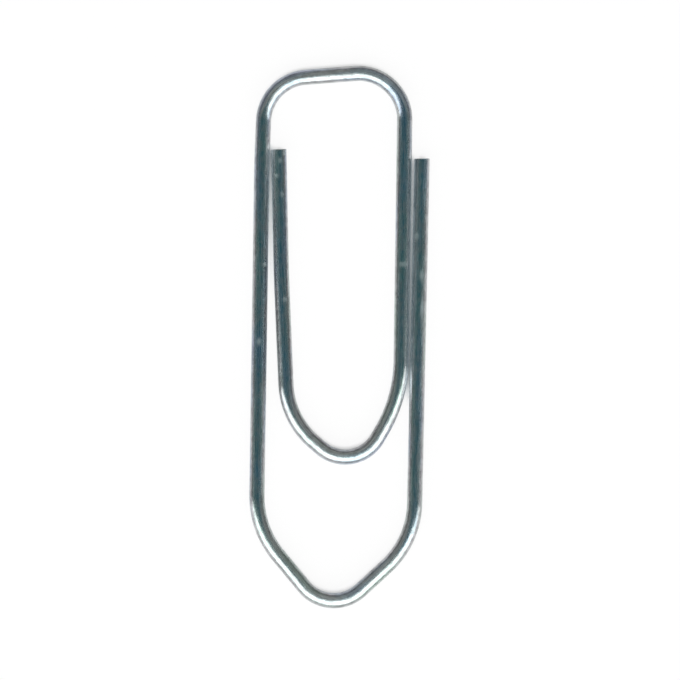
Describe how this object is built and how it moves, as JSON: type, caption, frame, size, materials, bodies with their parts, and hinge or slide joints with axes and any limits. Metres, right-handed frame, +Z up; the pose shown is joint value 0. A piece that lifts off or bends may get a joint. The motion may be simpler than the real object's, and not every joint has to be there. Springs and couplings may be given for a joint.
{
  "type": "paper clip",
  "caption": "Pointed paper clip of round bent wire: a long outer loop with an arrow-shaped end and a springy inner tongue that lifts to grip sheets of paper.",
  "frame": {"origin": "middle of the clip's outline, on the surface that it lies flat on", "axes": "+X across the clip towards its outer free leg, +Y along the legs from the arrow point to the top run, +Z up off the surface"},
  "size_m": [0.0106, 0.032, 0.0009],
  "materials": {
    "wire": "drawn steel wire with a bright zinc plate, slightly blue, with fine lengthwise drawing lines"
  },
  "bodies": {
    "outer_loop": {"top_bend_left": "wire", "outer_left_leg": "wire", "left_shoulder": "wire", "arrow_point": "wire"},
    "tongue": {"top_bend_right": "wire", "tongue_leg": "wire", "tongue_shoulder": "wire", "tongue_tip": "wire"},
    "outer_end": {"right_shoulder": "wire", "outer_free_leg": "wire"},
    "tongue_end": {"tongue_turn": "wire", "tongue_free_leg": "wire"}
  },
  "joints": [
    {"name": "tongue_lift", "type": "hinge", "parent": "outer_loop", "child": "tongue", "pos_m": [-0.00055, 0.01543, 0.00046], "axis": [-0.9971, -0.0762, 0], "range_deg": [0, 12], "stiffness_Nm_per_rad": 0.26},
    {"name": "outer_end_lift", "type": "hinge", "parent": "outer_loop", "child": "outer_end", "pos_m": [0.00198, -0.01424, 0.00046], "axis": [0.7363, 0.6767, 0], "range_deg": [0, 8], "stiffness_Nm_per_rad": 0.22},
    {"name": "tongue_end_lift", "type": "hinge", "parent": "tongue", "child": "tongue_end", "pos_m": [-0.00129, -0.00638, 0.00046], "axis": [0.7608, -0.649, 0], "range_deg": [0, 6], "stiffness_Nm_per_rad": 0.33}
  ]
}
